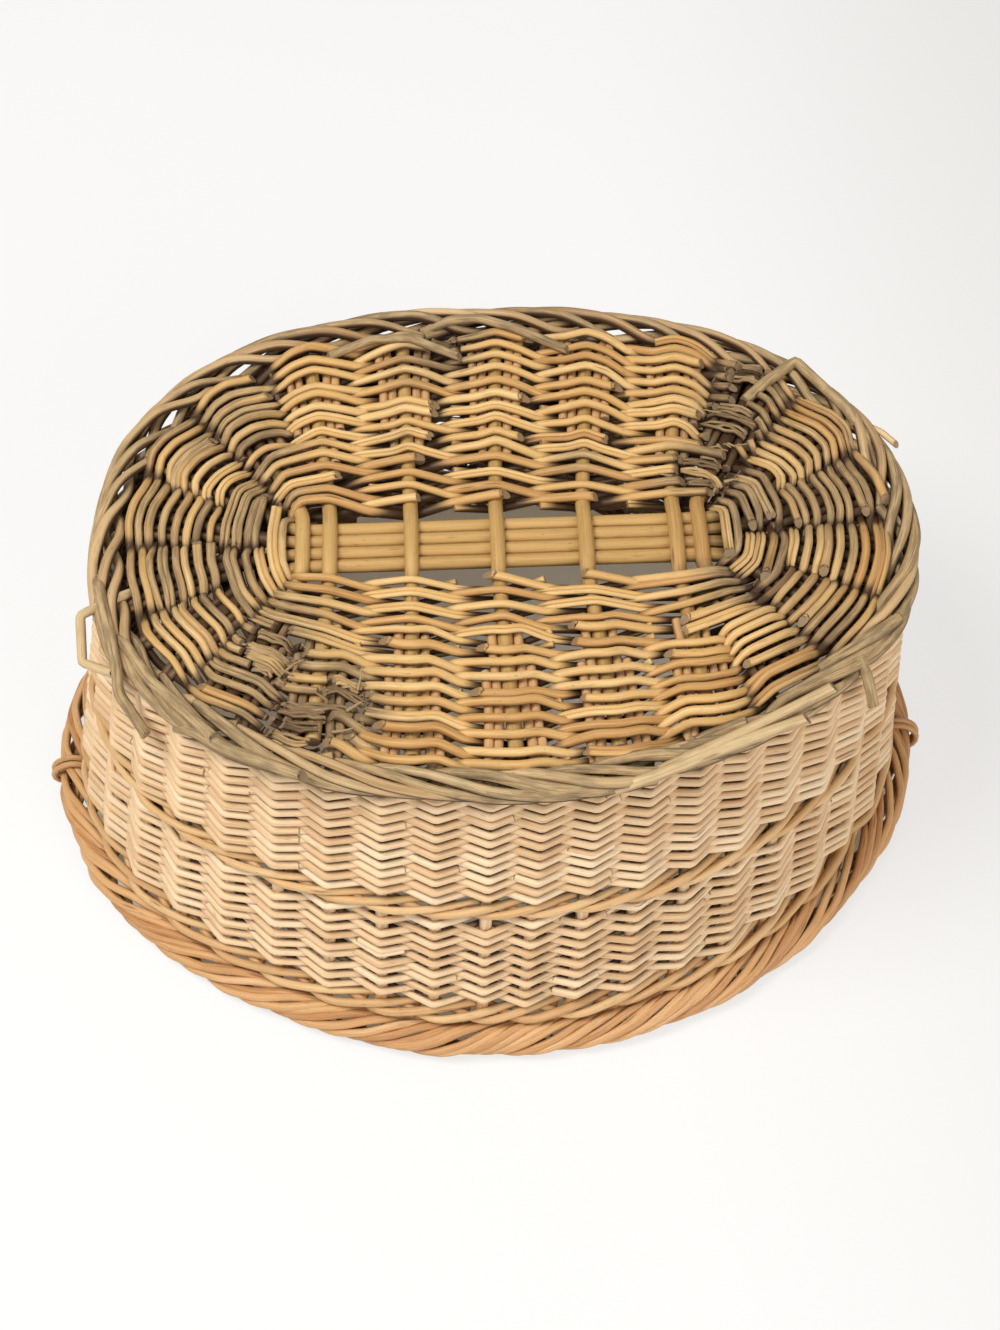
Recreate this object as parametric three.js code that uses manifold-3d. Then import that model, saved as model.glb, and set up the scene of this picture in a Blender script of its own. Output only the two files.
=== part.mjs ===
// An oval willow laundry basket in stake-and-strand weave, standing upside down on its rim.
// Millimetres, +Z up. The basket is drawn the right way up, with its foot at z = 0, and then turned over.
import * as THREE from 'three';
import { mergeVertices } from 'three/addons/utils/BufferGeometryUtils.js';
import Module from 'manifold-3d';

const wasm = await Module();
wasm.setup();

// Overall sizes
const BASE_LENGTH = 520; // over the foot wale
const BASE_WIDTH = 395;
const RIM_LENGTH = 600; // over the border
const RIM_WIDTH = 490;
const HEIGHT = 245; // foot to rim
const OVAL_POWER = 2.25; // 2 is an ellipse, more is squarer
const BASE_SHIFT_X = 8; // the base of this hand-made basket lies off the middle of its rim
const BASE_SHIFT_Y = 9;

// Sticks of the base
const LONG_STICKS = 4;
const LONG_STICK_DIAMETER = 8;
const CROSS_STICK_DIAMETER = 10;
const CROSS_SPAN = 250; // between the outermost cross sticks
const DOUBLE_STICK_STEP = 17; // the two close sticks at each end
const INNER_STICK_STEP = 55; // the three single sticks in the middle
const SPLIT_SWELL = 0.8; // swelling of a cross stick at its split, as a share of the split's half height
const SPLIT_TAPER = 13; // length over which a split cross stick closes again
const BARE_END_GAP = 10; // from the last cross stick to where the long sticks start to fan
const CROSS_STICKS = 7;

// Rods
const STAKE_DIAMETER = 5.6;
const STAKE_LEG_LENGTH = 42; // driven in beside its stick
const BASE_WEAVER_WIDTH = 7.5;
const BASE_WEAVER_THICKNESS = 4.6;
const FOOT_ROD_DIAMETER = 7.6;
const MIDDLE_ROD_DIAMETER = 5.4;
const TOP_ROD_DIAMETER = 5.2;
const INSIDE_ROD_GAP = 4; // over the sticks, under the inside rod of the foot wale
const RAND_THICKNESS = 3.2;
const LASHING_DIAMETER = 2;
const CLEARANCE = 0.4; // between rods that touch
const SQUARED = 0.9; // side of a square rod, as a share of the diameter of a round one as stout
const SLIVER_THICKNESS = 0.02; // faces thinner than this are taken out where two rods are joined
const SLANTED = 1.15; // height that a slanting rod takes up, as a share of its thickness

// Spacing of rods that lie together, as shares of their diameter
const FOOT_PITCH_RATIO = 1.25;
const WALE_PITCH_RATIO = 1.12;
const ROLL_RADIUS_RATIO = 1.62; // radius of the border's roll

// The foot wale's two outside rods, in shares of their spacing
const FOOT_BULGE_RATIO = 1.2; // out from the stakes
const FOOT_SPREAD_RATIO = 2.1; // one above the other

// A stick's section is six-sided, with a flat top and bottom
const STICK_FLAT = 0.55; // half width of the flat, as a share of the radius
const STICK_RISE = 0.9; // height of the flat over the middle, as a share of the radius

// Counts of the weave
const BASE_ROWS = 10;
const GROUPED_ROWS = 4; // rows that go over close sticks as one
const SPARE_ROWS = 1.4; // rows left free between the base weave and the stick ends
const BASE_STEP_RATIO = 0.8; // least spacing of the sticks under a base strand, as a share of the stakes'
const LEG_SPREAD_RATIO = 0.34; // from a stick to its stakes at the edge, as a share of the stakes' spacing
const LEG_BEND_RATIO = 0.97; // where a leg bends up, as a share of its stick
const LEG_LEAD_RATIO = 0.06; // share of the stick over which a row widens before the legs start
const LOWER_ROWS = 7;
const UPPER_ROWS = 4;
const MIDDLE_WALE_HEIGHT = 117; // centre of the middle wale above the foot
const LOOSE_ROW_GAP = 2.6; // air between the rows of the upper rand
const LASHING_PLACE = 1; // stakes between the long axis and a lashing
const LASHING_TURNS = 2;
const LASHING_STEPS = 12; // per turn
const LASHING_SLACK = 2.3; // round the corners of the border rods

// The way of a stake tip round the border's roll: stakes ahead of its own, then out from the wall and
// up, in shares of the roll's radius
const BORDER_WAY = [[0.08, 0, 0], [1, 1, -1], [2, 2, 0], [3, 1, 1], [3.1, 0.9, 1], [3.32, 0.7, 1]];
const BORDER_START = 1.5; // below the roll's middle, where the tip starts to bend
const LEAN_RATIO = 0.45; // how far out the first tip of a pair passes the second stake, on which it leans

const STICK_ENDS = 2 * (LONG_STICKS + CROSS_STICKS);
const STAKES = 2 * STICK_ENDS;
const stakeGirth = SQUARED * STAKE_DIAMETER;
const stakeRadius = STAKE_DIAMETER / 2;
const footRadius = FOOT_ROD_DIAMETER / 2;
const longRadius = LONG_STICK_DIAMETER / 2;
const crossRadius = CROSS_STICK_DIAMETER / 2;

function willow(color, roughness = 0.75) {
  return new THREE.MeshStandardMaterial({ color, roughness, metalness: 0 });
}
const STICK_WILLOW = willow(0xb98550);
const BASE_WILLOW = willow(0xcfa468);
const STAKE_WILLOW = willow(0xb5733f);
const FOOT_WILLOW = willow(0x8c7a5f, 0.85);
const RAND_WILLOW = willow(0xdcbf97);
const WALE_WILLOW = willow(0xc0894f);

// Forms a closed solid from rings that all have the same number of points.
function loft(rings) {
  const count = rings[0].length;
  const last = (rings.length - 1) * count;
  const faces = [];
  for (let ring = 0; ring < rings.length - 1; ring++) {
    for (let i = 0; i < count; i++) {
      const a = ring * count + i;
      const b = ring * count + (i + 1) % count;
      faces.push(a, b, a + count, b, b + count, a + count);
    }
  }
  for (let i = 1; i < count - 1; i++) {
    faces.push(0, i + 1, i, last, last + i, last + i + 1);
  }
  const geometry = new THREE.BufferGeometry();
  geometry.setFromPoints(rings.flat());
  geometry.setIndex(faces);
  return geometry;
}

// A rod along a list of points. Its section is a flat-sided oblong: half its thickness along the
// given normals and half its width across them.
function rod(points, normals, thickness, width) {
  const rings = points.map((point, i) => {
    const before = points[Math.max(i - 1, 0)];
    const after = points[Math.min(i + 1, points.length - 1)];
    const along = after.clone().sub(before).normalize();
    const across = along.clone().cross(normals[i]).normalize();
    const out = across.clone().cross(along);
    out.multiplyScalar(thickness / 2);
    across.multiplyScalar(width / 2);
    const corner = (u, v) => point.clone().addScaledVector(out, u).addScaledVector(across, v);
    return [corner(1, 1), corner(-1, 1), corner(-1, -1), corner(1, -1)];
  });
  return loft(rings);
}

function solid(geometry) {
  const bare = geometry.clone();
  bare.deleteAttribute('normal');
  bare.deleteAttribute('uv');
  const welded = mergeVertices(bare, 1e-4);
  const vertProperties = Float32Array.from(welded.attributes.position.array);
  const triVerts = Uint32Array.from(welded.index.array);
  return new wasm.Manifold(new wasm.Mesh({ numProp: 3, vertProperties, triVerts }));
}

function toGeometry(manifold) {
  const mesh = manifold.getMesh();
  const geometry = new THREE.BufferGeometry();
  geometry.setAttribute('position', new THREE.BufferAttribute(mesh.vertProperties, 3));
  geometry.setIndex(new THREE.BufferAttribute(mesh.triVerts, 1));
  return geometry;
}
const fuse = (first, second) => {
  return toGeometry(solid(first).add(solid(second)).asOriginal().simplify(SLIVER_THICKNESS));
};
const cut = (body, tool) => toGeometry(solid(body).subtract(solid(tool)));

// Everything leans as the basket does
const leaning = new THREE.Matrix4();
leaning.makeShear(0, 0, 0, 0, -BASE_SHIFT_X / HEIGHT, BASE_SHIFT_Y / HEIGHT);

const basket = new THREE.Group();
function piece(name, geometry, material) {
  geometry.applyMatrix4(leaning);
  geometry.computeVertexNormals();
  const mesh = new THREE.Mesh(geometry, material);
  mesh.name = name;
  basket.add(mesh);
}

// How far a rod stands off the middle of the one that it crosses, so that it clears its flat top
// while running straight to the far side of the next one, one spacing away.
function standOff(halfHeight, flatWidth, crossing, spacing) {
  const halfCrossing = SLANTED * crossing / 2;
  return (halfHeight + halfCrossing + CLEARANCE) / (1 - flatWidth / spacing);
}

// The oval on which the stakes stand
class Oval extends THREE.Curve {
  constructor(halfLength, halfWidth) {
    super();
    this.halfLength = halfLength;
    this.halfWidth = halfWidth;
    this.arcLengthDivisions = 2000;
  }

  getPoint(t, target = new THREE.Vector3()) {
    const c = Math.cos(2 * Math.PI * t);
    const s = Math.sin(2 * Math.PI * t);
    const rounded = (v) => Math.sign(v) * Math.pow(Math.abs(v), 2 / OVAL_POWER);
    return target.set(this.halfLength * rounded(c), this.halfWidth * rounded(s), 0);
  }
}

// Rough spacing of the stakes, from the base's own oval
const footDepth = 2 * FOOT_ROD_DIAMETER;
const roughOval = new Oval(BASE_LENGTH / 2 - footDepth, BASE_WIDTH / 2 - footDepth);
const stakeSpacing = roughOval.getLength() / STAKES;
const offStake = (crossing) => standOff(stakeRadius, STAKE_DIAMETER, crossing, stakeSpacing);

// The foot wale: two rods outside each stake, one above the other, and one inside
const footPitch = FOOT_PITCH_RATIO * FOOT_ROD_DIAMETER + CLEARANCE;
const footStandOff = Math.max(offStake(FOOT_ROD_DIAMETER), FOOT_BULGE_RATIO * footPitch);

// The border: four lanes round a roll, through which each stake tip passes as it runs along the rim
const rollRadius = ROLL_RADIUS_RATIO * (STAKE_DIAMETER + CLEARANCE);
const rollHeight = HEIGHT - rollRadius - stakeGirth / 2;

// The wall's oval at a height, and a point on it by stake number, moved out from the wall
const footReach = footStandOff + footRadius;
const footLine = [BASE_LENGTH / 2 - footReach, BASE_WIDTH / 2 - footReach];
const rimReach = 2 * rollRadius + stakeRadius;
const rimLine = [RIM_LENGTH / 2 - rimReach, RIM_WIDTH / 2 - rimReach];
const stakeOval = new Oval((footLine[0] + rimLine[0]) / 2, (footLine[1] + rimLine[1]) / 2);
function stakePlace(stake) {
  const place = (stake + 0.5) / STAKES;
  return stakeOval.getUtoTmapping(place - Math.floor(place));
}

function wallPoint(stake, z, out = 0) {
  const rise = z / rollHeight;
  const level = new Oval(
    THREE.MathUtils.lerp(footLine[0], rimLine[0], rise),
    THREE.MathUtils.lerp(footLine[1], rimLine[1], rise),
  );
  const point = level.getPoint(stakePlace(stake)).addScaledVector(wallNormal(stake), out);
  point.z = z;
  return point;
}

function wallNormal(stake) {
  const t = stakePlace(stake);
  const step = 0.18 / STAKES;
  const along = stakeOval.getPoint(t + step).sub(stakeOval.getPoint(t - step));
  return new THREE.Vector3(along.y, -along.x, 0).normalize();
}

// Heights at the foot: the sticks lie in one plane and the inside rod of the wale passes above them
const footDrop = FOOT_SPREAD_RATIO * footPitch; // between the wale's two outside rods
const innerRodLift = crossRadius + footRadius + INSIDE_ROD_GAP;
const stickHeight = footRadius + footDrop - innerRodLift;
const footRodHeight = stickHeight + innerRodLift;

// Base sticks: inner end of the woven stretch and outer end of each, in order round the base
const endSetback = footStandOff + CLEARANCE;
const bundleHalf = LONG_STICKS * (LONG_STICK_DIAMETER + CLEARANCE) / 2;
const bareHalf = bundleHalf + SPLIT_TAPER;
const bareEnd = CROSS_SPAN / 2 + crossRadius + BARE_END_GAP;
const crossPlaces = [
  -CROSS_SPAN / 2, -CROSS_SPAN / 2 + DOUBLE_STICK_STEP, -INNER_STICK_STEP, 0,
  INNER_STICK_STEP, CROSS_SPAN / 2 - DOUBLE_STICK_STEP, CROSS_SPAN / 2,
];
const longPlace = (row) => (row - (LONG_STICKS - 1) / 2) * (LONG_STICK_DIAMETER + CLEARANCE);
const outerEnd = (end) => {
  const point = wallPoint(2 * end + 0.5, 0, -endSetback);
  point.z = stickHeight;
  return point;
};

const sticks = [];
const halfLong = LONG_STICKS / 2;
function addEnd(end, innerX, innerY, radius) {
  const inner = new THREE.Vector3(innerX, innerY, stickHeight);
  const outer = outerEnd(end);
  const along = outer.clone().sub(inner).normalize();
  sticks[end] = { inner, outer, radius, across: new THREE.Vector3(-along.y, along.x, 0) };
}
for (let row = 0; row < LONG_STICKS; row++) {
  addEnd((row - halfLong + STICK_ENDS) % STICK_ENDS, bareEnd, longPlace(row), longRadius);
  addEnd(STICK_ENDS / 2 + halfLong - 1 - row, -bareEnd, longPlace(row), longRadius);
}
crossPlaces.forEach((x, i) => {
  addEnd(halfLong + CROSS_STICKS - 1 - i, x, bareHalf, crossRadius);
  addEnd(STICK_ENDS / 2 + halfLong + i, x, -bareHalf, crossRadius);
});
const onStick = (stick, share) => stick.inner.clone().lerp(stick.outer, share);

// A six-sided stick along a route in the plane of the base, swollen by the given height at each point
const UP = new THREE.Vector3(0, 0, 1);
const DOWN = new THREE.Vector3(0, 0, -1); // side of a stake's leg that becomes the outside of the wall
function stickBody(route, radius, swelling) {
  const rings = route.map((point, i) => {
    const before = route[Math.max(i - 1, 0)];
    const after = route[Math.min(i + 1, route.length - 1)];
    const across = after.clone().sub(before).normalize().cross(UP);
    const rise = STICK_RISE * (radius + swelling[i]);
    const corner = (u, v) => {
      return point.clone().addScaledVector(across, u * radius).setZ(stickHeight + v * rise);
    };
    return [
      corner(-1, 0), corner(-STICK_FLAT, 1), corner(STICK_FLAT, 1),
      corner(1, 0), corner(STICK_FLAT, -1), corner(-STICK_FLAT, -1),
    ];
  });
  return loft(rings);
}

for (let row = 0; row < LONG_STICKS; row++) {
  const right = sticks[(row - halfLong + STICK_ENDS) % STICK_ENDS];
  const left = sticks[STICK_ENDS / 2 + halfLong - 1 - row];
  const route = [left.outer, left.inner, right.inner, right.outer];
  piece(`long_stick_${row + 1}`, stickBody(route, longRadius, [0, 0, 0, 0]), STICK_WILLOW);
}

// Each cross stick is split along its middle: it swells where the long sticks pass through the split
const splitHalf = longRadius + CLEARANCE;
const split = new THREE.Shape([
  new THREE.Vector2(-bareHalf + crossRadius / 2, 0), new THREE.Vector2(-bundleHalf, -splitHalf),
  new THREE.Vector2(bundleHalf, -splitHalf), new THREE.Vector2(bareHalf - crossRadius / 2, 0),
  new THREE.Vector2(bundleHalf, splitHalf), new THREE.Vector2(-bundleHalf, splitHalf),
]);
function crossStick(back, front) {
  const x = back.inner.x;
  const swollen = (y) => new THREE.Vector3(x, y, stickHeight);
  const middle = [swollen(-bundleHalf), swollen(bundleHalf)];
  const route = [front.outer, front.inner, ...middle, back.inner, back.outer];
  const swell = SPLIT_SWELL * splitHalf;
  const body = stickBody(route, crossRadius, [0, 0, swell, swell, 0, 0]);
  const slot = new THREE.ExtrudeGeometry(split, { depth: 4 * crossRadius, bevelEnabled: false });
  slot.rotateX(Math.PI / 2).rotateZ(Math.PI / 2).translate(x - 2 * crossRadius, 0, stickHeight);
  return cut(body, slot);
}
crossPlaces.forEach((_, i) => {
  const back = sticks[halfLong + CROSS_STICKS - 1 - i];
  const front = sticks[STICK_ENDS / 2 + halfLong + i];
  piece(`cross_stick_${i + 1}`, crossStick(back, front), STICK_WILLOW);
});

// The leg of a stake, beside its stick
const legNear = (stick) => stick.radius + stakeRadius + CLEARANCE;
const legFar = LEG_SPREAD_RATIO * stakeSpacing;
const legStart = (stick) => 1 - STAKE_LEG_LENGTH / stick.outer.distanceTo(stick.inner);
function onLeg(stick, side, share) {
  const run = THREE.MathUtils.clamp((share - legStart(stick)) / (1 - legStart(stick)), 0, 1);
  const apart = THREE.MathUtils.lerp(legNear(stick), Math.max(legFar, legNear(stick)), run);
  return onStick(stick, share).addScaledVector(stick.across, side * apart);
}

// Base weave: two strands chase each other outward, one over the sticks that the other goes under
const endNumber = (end) => (end + STICK_ENDS) % STICK_ENDS;
const longGroup = (first) => [endNumber(first), endNumber(first + LONG_STICKS - 1)];
const crossGroups = (first) => [
  [first, first + 1], [first + 2], [first + 3], [first + 4], [first + 5, first + 6],
];
const groups = [
  longGroup(-halfLong), ...crossGroups(halfLong),
  longGroup(STICK_ENDS / 2 - halfLong), ...crossGroups(STICK_ENDS / 2 + halfLong),
];
const singles = sticks.map((_, unit) => [endNumber(unit - halfLong)]);

function baseStrand(strand) {
  const route = [];
  const share = (row) => (row + 1) / (BASE_ROWS + SPARE_ROWS);
  const cross = (points, stick, over) => {
    const flat = 2 * STICK_FLAT * stick.radius;
    const lift = standOff(stick.radius, flat, BASE_WEAVER_THICKNESS, BASE_STEP_RATIO * stakeSpacing);
    points.forEach((point) => route.push(point.setZ(stickHeight + (over ? lift : -lift))));
  };
  const rowAt = (turn, around) => 2 * turn + strand + 2 * around;
  for (let turn = 0; turn < BASE_ROWS / 2; turn++) {
    const grouped = rowAt(turn, 0.5) < GROUPED_ROWS;
    const units = grouped ? groups : singles;
    units.forEach((ends, unit) => {
      const row = rowAt(turn, unit / units.length);
      if (row > BASE_ROWS - 0.5) {
        return;
      }
      const over = (unit + strand) % 2 === 0;
      const at = share(row);
      const stick = sticks[ends[0]];
      if (grouped) {
        cross(ends.map((end) => onStick(sticks[end], at)), stick, over);
      } else if (at > legStart(stick) - LEG_LEAD_RATIO) {
        cross([onLeg(stick, -1, at), onLeg(stick, 1, at)], stick, over);
      } else {
        cross([onStick(stick, at)], stick, over);
      }
    });
  }
  return rod(route, route.map(() => UP), BASE_WEAVER_THICKNESS, BASE_WEAVER_WIDTH);
}
piece('base_weaver_1', baseStrand(0), BASE_WILLOW);
piece('base_weaver_2', baseStrand(1), BASE_WILLOW);

// Stakes: a leg beside the stick, a bend up at the foot, the wall, and a tip rolled into the border.
// The tip of the first stake of a pair leans on the second, so the two are one solid.
function stake(number, leansOnNext) {
  const end = Math.floor(number / 2);
  const side = number % 2 === 0 ? -1 : 1;
  const stick = sticks[end];
  const start = onLeg(stick, side, legStart(stick));
  const edge = onLeg(stick, side, LEG_BEND_RATIO);
  const wall = [
    [0, stickHeight + stakeGirth, -stakeGirth / 3.6],
    [0, footRodHeight + footPitch, 0],
    [0, rollHeight - BORDER_START * rollRadius, 0],
  ];
  BORDER_WAY.forEach(([ahead, out, up], step) => {
    const leaning = leansOnNext && step === 1;
    wall.push([ahead, rollHeight + up * rollRadius, (leaning ? LEAN_RATIO : out) * rollRadius]);
  });
  const route = [start, edge, ...wall.map(([ahead, z, out]) => wallPoint(number + ahead, z, out))];
  const normals = [DOWN, DOWN, ...wall.map(([ahead]) => wallNormal(number + ahead))];
  return rod(route, normals, stakeGirth, stakeGirth);
}
for (let pair = 0; pair < STICK_ENDS; pair++) {
  const geometry = fuse(stake(2 * pair, true), stake(2 * pair + 1, false));
  piece(`stake_pair_${String(pair + 1).padStart(2, '0')}`, geometry, STAKE_WILLOW);
}

// A three-rod wale: each rod passes in front of two stakes, at the upper place and then the lower,
// and behind one
function wale(name, diameter, standOut, drop, insideHeight, topHeight, material) {
  const places = [[-standOut, insideHeight], [standOut, topHeight], [standOut, topHeight - drop]];
  for (let strand = 0; strand < 3; strand++) {
    const route = [];
    const normals = [];
    for (let at = 0; at < STAKES; at++) {
      const [out, z] = places[(at + strand) % 3];
      route.push(wallPoint(at, z, out));
      normals.push(wallNormal(at));
    }
    const girth = SQUARED * diameter;
    piece(`${name}_rod_${strand + 1}`, rod(route, normals, girth, girth), material);
  }
}
wale('foot_wale', FOOT_ROD_DIAMETER, footStandOff, footDrop, footRodHeight, footRodHeight, FOOT_WILLOW);
const walePitch = (diameter) => WALE_PITCH_RATIO * diameter + CLEARANCE;
const waleHalf = (diameter) => walePitch(diameter) + diameter / 2;
function plainWale(name, diameter, centre) {
  const pitch = walePitch(diameter);
  wale(name, diameter, offStake(diameter), 2 * pitch, centre, centre + pitch, WALE_WILLOW);
}
const middleHalf = waleHalf(MIDDLE_ROD_DIAMETER);
const topHalf = waleHalf(TOP_ROD_DIAMETER);
const borderFoot = rollHeight - rollRadius - stakeRadius - 2 * LASHING_DIAMETER;
const topWaleHeight = borderFoot - topHalf;
plainWale('middle_wale', MIDDLE_ROD_DIAMETER, MIDDLE_WALE_HEIGHT);
plainWale('top_wale', TOP_ROD_DIAMETER, topWaleHeight);

// A rand: two flat strands chase each other up the wall, one in front of the stakes that the other
// is behind
function rand(name, from, to, rows, rowGap) {
  const pitch = (to - from) / (rows + 2);
  const out = offStake(RAND_THICKNESS);
  for (let strand = 0; strand < 2; strand++) {
    const route = [];
    const normals = [];
    const turns = Math.floor((rows + 1 - strand) / 2);
    for (let at = 0; at <= turns * STAKES; at++) {
      const row = 2 * at / STAKES + strand;
      const outside = (at + strand) % 2 === 0;
      route.push(wallPoint(at, from + (row + 0.5) * pitch, outside ? out : -out));
      normals.push(wallNormal(at));
    }
    const geometry = rod(route, normals, RAND_THICKNESS, pitch - rowGap);
    piece(`${name}_strand_${strand + 1}`, geometry, RAND_WILLOW);
  }
}
const footTop = footRodHeight + footRadius + CLEARANCE;
rand('lower_rand', footTop, MIDDLE_WALE_HEIGHT - middleHalf, LOWER_ROWS, CLEARANCE);
rand('upper_rand', MIDDLE_WALE_HEIGHT + middleHalf, topWaleHeight - topHalf, UPPER_ROWS, LOOSE_ROW_GAP);

// Lashings: two turns of a rod round the two outer rods of the border, one lashing at each end
function lashing(name, place) {
  const reach = stakeRadius + LASHING_DIAMETER / 2 + LASHING_SLACK;
  const pitch = (LASHING_DIAMETER + CLEARANCE) / stakeSpacing;
  const route = [];
  const normals = [];
  for (let i = 0; i <= LASHING_TURNS * LASHING_STEPS; i++) {
    const angle = 2 * Math.PI * i / LASHING_STEPS;
    const along = place + pitch * (i / LASHING_STEPS - LASHING_TURNS / 2);
    const share = along - Math.floor(along);
    const onUpper = i % LASHING_STEPS < LASHING_STEPS / 2;
    const rodOut = rollRadius * (onUpper ? 2 - share : 1 + share);
    const rodUp = rollRadius * (onUpper ? share : share - 1);
    const z = rollHeight + rodUp + reach * Math.sin(angle);
    route.push(wallPoint(along, z, rodOut + reach * Math.cos(angle)));
    normals.push(wallNormal(along).multiplyScalar(Math.cos(angle)).setZ(Math.sin(angle)));
  }
  piece(name, rod(route, normals, LASHING_DIAMETER, LASHING_DIAMETER), WALE_WILLOW);
}
lashing('lashing_right', LASHING_PLACE - 0.5);
lashing('lashing_left', STAKES / 2 - LASHING_PLACE - 0.5);

// Turned over, with the middle of the rim at the origin
const standing = new THREE.Group();
basket.rotation.x = Math.PI;
basket.updateMatrixWorld(true);
const extent = new THREE.Box3().setFromObject(basket, true);
const middle = extent.getCenter(new THREE.Vector3());
basket.position.set(-middle.x, -middle.y, -extent.min.z);
standing.add(basket);

export default standing;
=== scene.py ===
# %% [markdown]
# # An old willow laundry basket
# The basket stands upside down on its rim, with its woven base towards us.
# Everything on it is a willow rod: sticks, weavers, stakes, wales, rands and the border.
# So the lesson is about one thing, a rod, and about the ways in which rods cross each other.

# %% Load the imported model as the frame
import math

import bmesh
import bpy
import numpy as np
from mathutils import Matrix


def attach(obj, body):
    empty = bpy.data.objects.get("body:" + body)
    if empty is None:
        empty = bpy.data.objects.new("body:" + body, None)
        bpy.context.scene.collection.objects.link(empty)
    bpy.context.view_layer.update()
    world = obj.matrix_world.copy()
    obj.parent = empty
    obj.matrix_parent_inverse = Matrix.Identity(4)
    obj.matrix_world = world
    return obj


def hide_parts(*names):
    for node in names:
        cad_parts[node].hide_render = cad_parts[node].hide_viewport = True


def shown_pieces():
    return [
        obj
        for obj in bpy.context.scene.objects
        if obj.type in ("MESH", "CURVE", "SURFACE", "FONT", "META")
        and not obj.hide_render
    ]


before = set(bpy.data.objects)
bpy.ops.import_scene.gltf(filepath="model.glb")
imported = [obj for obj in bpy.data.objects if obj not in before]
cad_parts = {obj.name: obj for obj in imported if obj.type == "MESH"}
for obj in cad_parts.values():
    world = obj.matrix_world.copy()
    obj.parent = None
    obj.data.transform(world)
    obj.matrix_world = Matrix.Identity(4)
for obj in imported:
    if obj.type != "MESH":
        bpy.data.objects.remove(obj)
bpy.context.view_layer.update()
chance = np.random.default_rng(7)

# %% [markdown]
# The camera comes first, because every later choice is judged through it.
# It looks down at the base at about 55 degrees, from 1.4 m away, with a short telephoto lens.
# The frame is 1000 by 1330, so the lens is worked out on the long side, which is the height.

# %% Camera
ELEVATION = math.radians(55.1)
AZIMUTH = math.radians(-2.4)
DISTANCE = 1.400
FRAME_HEIGHT = 1330
FOCAL_PIXELS = 2044.0
AIM = np.array([0.0065, -0.0075, 0.1155])

camera_data = bpy.data.cameras.new("camera")
camera_data.sensor_fit = "VERTICAL"
camera_data.sensor_height = 36.0
camera_data.lens = FOCAL_PIXELS / FRAME_HEIGHT * camera_data.sensor_height
camera = bpy.data.objects.new("camera", camera_data)
back = np.array([
    math.sin(AZIMUTH) * math.cos(ELEVATION),
    -math.cos(AZIMUTH) * math.cos(ELEVATION),
    math.sin(ELEVATION),
])
camera.location = AIM + back * DISTANCE
camera.rotation_euler = (math.pi / 2 - ELEVATION, 0, AZIMUTH)
bpy.context.scene.collection.objects.link(camera)
bpy.context.scene.camera = camera
print("camera at", [round(v, 3) for v in camera.location], "lens", round(camera_data.lens, 1))

# %% [markdown]
# The stakes stand on an oval that grows from the foot to the rim, and are spaced evenly along it.
# An old basket made by hand is not even: its base has moved off the middle of the rim, the rim is rounder
# than the foot, and the oval swells in one place and is flat in others.

# %% The oval
STAKES = 44
HEIGHT = 245.0
FOOT_TOP = 245.05
ROLL_HEIGHT = 232.8
FOOT_HALF = np.array([249.5, 182.2])
RIM_HALF = np.array([287.0, 225.5])
FOOT_POWER, RIM_POWER = 2.25, 2.0
BASE_SHIFT = np.array([14.0, 17.0])
RIM_SHIFT = np.array([-2.0, -4.0])
# Each swelling: the stake in its middle, its width in stakes, and its share at the foot and at the rim.
BULGES = [
    (27.5, 3.5, 0.04, 0.0),
    (5.0, 2.8, -0.045, 0.0),
    (3.4, 2.8, 0.0, -0.038),
    (15.5, 3.0, 0.0, -0.02),
]
SMALL_TURN = 0.004


def oval(turn, squareness=FOOT_POWER):
    """Points of an oval with half-axes of 1. A squareness of 2 is an ellipse, and more is squarer."""
    c, s = np.cos(2 * np.pi * turn), np.sin(2 * np.pi * turn)
    power = np.broadcast_to(2 / np.asarray(squareness), np.shape(turn))
    return np.stack([np.sign(c) * np.abs(c) ** power, np.sign(s) * np.abs(s) ** power], -1)


def distances(points):
    """How far along a route each of its points lies."""
    return np.r_[0, np.cumsum(np.linalg.norm(np.diff(points, axis=0), axis=1))]


fine_turns = np.linspace(0, 1, 4001)
arc = distances(oval(fine_turns) * (FOOT_HALF + RIM_HALF) / 2)
print("oval", round(float(arc[-1])), "mm round, halfway up")
arc /= arc[-1]

# %% [markdown]
# Places on the wall are given as a basket maker would: which stake, how high above the foot, and how far
# out from the stakes. Heights and distances are in millimetres here, with the foot at zero, and `stand`
# turns the basket over.

# %% Places on the wall
def together(*values):
    """The values as arrays of the same length."""
    return np.broadcast_arrays(*(np.atleast_1d(np.asarray(value, float)) for value in values))


def stand(flat, height):
    """Turns places (x, y, height above the foot, mm) into world points in metres, upside down."""
    height = np.broadcast_to(np.asarray(height, float), flat.shape[:1])
    lean = (ROLL_HEIGHT - height)[:, None] / HEIGHT * BASE_SHIFT + RIM_SHIFT
    x = flat[:, 0] + lean[:, 0]
    y = -flat[:, 1] + lean[:, 1]
    return np.stack([x, y, FOOT_TOP - height], -1) / 1000


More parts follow.
